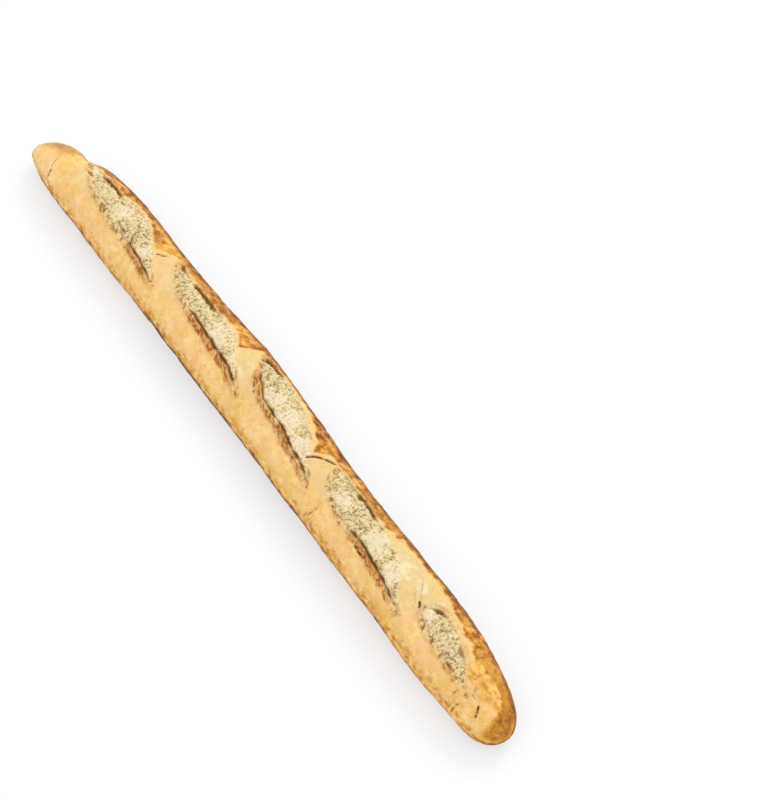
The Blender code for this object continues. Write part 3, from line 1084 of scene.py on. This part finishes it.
stretched = strokes(tree, object_place, STRETCH_LENGTH, STRETCH_WIDTH, STRETCH_SLANT)
for name in ("toast", "fringe", "shade"):
    pattern[f"streaked_{name}"] = add(
        tree, "ShaderNodeMath", {0: pattern[name], 1: stretched}, operation="MULTIPLY"
    ).outputs[0]
colour = coated(tree, colour, (
    Coat("#B07C38", "fringe", 0.10, 0.75, 0.55),
    Coat("#7E5222", "streaked_fringe", 0.10, 0.60, 0.80),
    Coat("#C08038", "toast", 0.05, 0.60, 0.70),
    Coat("#9A5A22", "streaked_toast", 0.05, 0.50, 0.85),
    Coat("#5E3414", "streaked_toast", 0.50, 1.00, 0.80),
    Coat("#8A6A40", "shade", 0.15, 0.90, 0.65),
    Coat("#4E3218", "streaked_shade", 0.15, 0.80, 0.85),
    # The crevices and folds: a darker brown, then painted shade deep in them.
    Coat("#8F5A26", "crevice_brown_and_shade", 0.10, 0.60, 0.85),
    Coat("#4E2C12", "crevice_brown_and_shade", 0.50, 1.00, 0.85),
))
print(f"with the torn edges there are {len(tree.nodes)} nodes")

# %% [markdown]
# ## Dull skin, powdery crumb
#
# Both are one loaf, so one shader does for both. Crust has a faint dull gloss,
# as dry starch has, and crumb has next to none, so the roughness rises from one
# to the other. Both are stippled at about half a millimetre, which is too fine
# to show, so the stipple is drawn at 1 mm on the crust and 1.5 mm on the crumb.
# It is shallower than the mesh can hold, which makes it the one thing left to
# bump.

# %% Gloss and stipple
STARCH_IOR, STARCH_GLOSS = 1.45, 0.14
CRUST_ROUGHNESS, CRUMB_ROUGHNESS = 0.58, 0.90
CRUST_STIPPLE, CRUMB_STIPPLE = (0.0010, 0.45), (0.0015, 1.3)  # (size, share of the depth)
STIPPLE_STRENGTH, STIPPLE_DEPTH = 0.8, 0.0008

roughness = add(
    tree,
    "ShaderNodeMapRange",
    {"Value": pattern["crumb"]},
    {"To Min": CRUST_ROUGHNESS, "To Max": CRUMB_ROUGHNESS},
).outputs["Result"]
on_crust, on_crumb = (
    mottle(tree, object_place, size, 0.0, depth, 4.0)
    for size, depth in (CRUST_STIPPLE, CRUMB_STIPPLE)
)
stipple = add(
    tree,
    "ShaderNodeMix",
    {0: pattern["crumb"], MIX_A_FLOAT: on_crust, MIX_B_FLOAT: on_crumb},
    data_type="FLOAT",
).outputs[0]
bumped = add(
    tree,
    "ShaderNodeBump",
    {"Height": stipple},
    {"Strength": STIPPLE_STRENGTH, "Distance": STIPPLE_DEPTH},
).outputs["Normal"]
surface = add(
    tree,
    "ShaderNodeBsdfPrincipled",
    {"Base Color": colour, "Roughness": roughness, "Normal": bumped},
    {"IOR": STARCH_IOR, "Specular IOR Level": STARCH_GLOSS},
)
add(tree, "ShaderNodeOutputMaterial", {"Surface": surface.outputs["BSDF"]})
loaf.data.materials.append(crust)
print(f"the finished material has {len(tree.nodes)} nodes")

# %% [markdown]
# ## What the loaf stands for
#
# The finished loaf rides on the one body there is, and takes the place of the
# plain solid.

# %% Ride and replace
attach(loaf, "root")
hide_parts("baguette")
print("the loaf stands for the solid on the root body")

# %% [markdown]
# ## A lit table
#
# The floor is what product photographers lay food on for a clean white ground:
# a sheet of satin opal acrylic, lit softly from below. It could be plain white
# paint, but then the loaf's shadow would be far too dark. The glow fills the
# shadow until only a faint one is left. The sheet lies a hair below the loaf,
# so the two flat faces don't fight, and it is clouded very slightly.

# %% Floor
FLOOR_SIZE, FLOOR_DROP = 12.0, 0.0004
TABLE_GLOW, TABLE_ROUGHNESS, TABLE_GLOSS = 0.54, 0.9, 0.1
CLOUD_SIZE = 0.9

bpy.ops.object.select_all(action="DESELECT")
bpy.ops.mesh.primitive_plane_add(size=FLOOR_SIZE, location=(0, 0, -FLOOR_DROP))
floor = bpy.context.object
floor.name = floor.data.name = "white_floor"
bpy.ops.object.transform_apply(location=True, rotation=False, scale=False)

acrylic = bpy.data.materials.new("satin_opal_acrylic")
acrylic.use_nodes = True
tree = acrylic.node_tree
surface = tree.nodes["Principled BSDF"]
for name, value in (
    ("Roughness", TABLE_ROUGHNESS),
    ("Specular IOR Level", TABLE_GLOSS),
    ("Emission Color", linear("#FFFFFF")),
    ("Emission Strength", TABLE_GLOW),
):
    surface.inputs[name].default_value = value
floor_place = add(tree, "ShaderNodeTexCoord").outputs["Object"]
cloudy = mottle(tree, floor_place, CLOUD_SIZE, 0.0, 1.0)
floor_colour = add(
    tree, "ShaderNodeValToRGB", {"Fac": cloudy}, stops=((0.0, "#A5A6A8"), (1.0, "#A7A8AA"))
).outputs["Color"]
tree.links.new(floor_colour, surface.inputs["Base Color"])
floor.data.materials.append(acrylic)
print(f"the floor is {FLOOR_SIZE:.0f} m across")

# %% [markdown]
# ## Soft light
#
# An even white sky fills every side, and one large round soft box stands behind
# the back of the loaf and above it. A single strong lamp would draw hard shadows
# of every pit. The soft box is weak beside the sky: it only picks out the relief
# and leans the faint shadow towards the front.

# %% Light
SKY_STRENGTH = 1.14
SOFT_BOX_SIZE, SOFT_BOX_POWER = 0.9, 9
SOFT_BOX_FROM_MIDDLE = Vector((-0.25, 1.15, 1.35))

world = bpy.data.worlds.new("soft_white_sky")
world.use_nodes = True
sky = world.node_tree.nodes["Background"]
sky.inputs["Color"].default_value = (1, 1, 1, 1)
sky.inputs["Strength"].default_value = SKY_STRENGTH
bpy.context.scene.world = world

middle = Vector((0, 0, (cad_box[0][2] + cad_box[1][2]) / 2))
soft_box_place = middle + SOFT_BOX_FROM_MIDDLE
bpy.ops.object.light_add(type="AREA", location=soft_box_place)
soft_box = bpy.context.object
soft_box.name = "soft_box"
soft_box.data.shape = "DISK"
soft_box.data.size = SOFT_BOX_SIZE
soft_box.data.energy = SOFT_BOX_POWER
soft_box.rotation_euler = (soft_box_place - middle).to_track_quat("Z", "Y").to_euler()
print(f"the soft box stands {SOFT_BOX_FROM_MIDDLE.length:.1f} m from the loaf")

# %% [markdown]
# ## The camera
#
# The camera looks down from in front of the near end. It stands a good way off
# with a long lens, so the loaf hardly narrows with distance, and it aims beside
# the loaf, which puts the loaf left of the middle. The three directions back,
# right and up are written out, so the view angle is two plain numbers. Colours
# go through the plain view transform, because the others would grey the white
# ground.

# %% Camera
AZIMUTH, ELEVATION = math.radians(55.15), math.radians(60)
CAMERA_DISTANCE, LENS = 1.5794, 91.1  # metres, millimetres
AIM_RIGHT, AIM_UP = 0.0978, 0.0066

back = Vector(
    (
        math.sin(AZIMUTH) * math.cos(ELEVATION),
        -math.cos(AZIMUTH) * math.cos(ELEVATION),
        math.sin(ELEVATION),
    )
)
right = Vector((math.cos(AZIMUTH), math.sin(AZIMUTH), 0))
up = back.cross(right)
bpy.ops.object.camera_add(
    location=middle + right * AIM_RIGHT + up * AIM_UP + back * CAMERA_DISTANCE,
    rotation=Matrix((right, up, back)).transposed().to_euler(),
)
camera = bpy.context.object
camera.name = "camera"
camera.data.lens = LENS
bpy.context.scene.camera = camera
bpy.context.scene.view_settings.view_transform = "Standard"
print(f"the camera looks down at {math.degrees(ELEVATION):.0f} degrees")
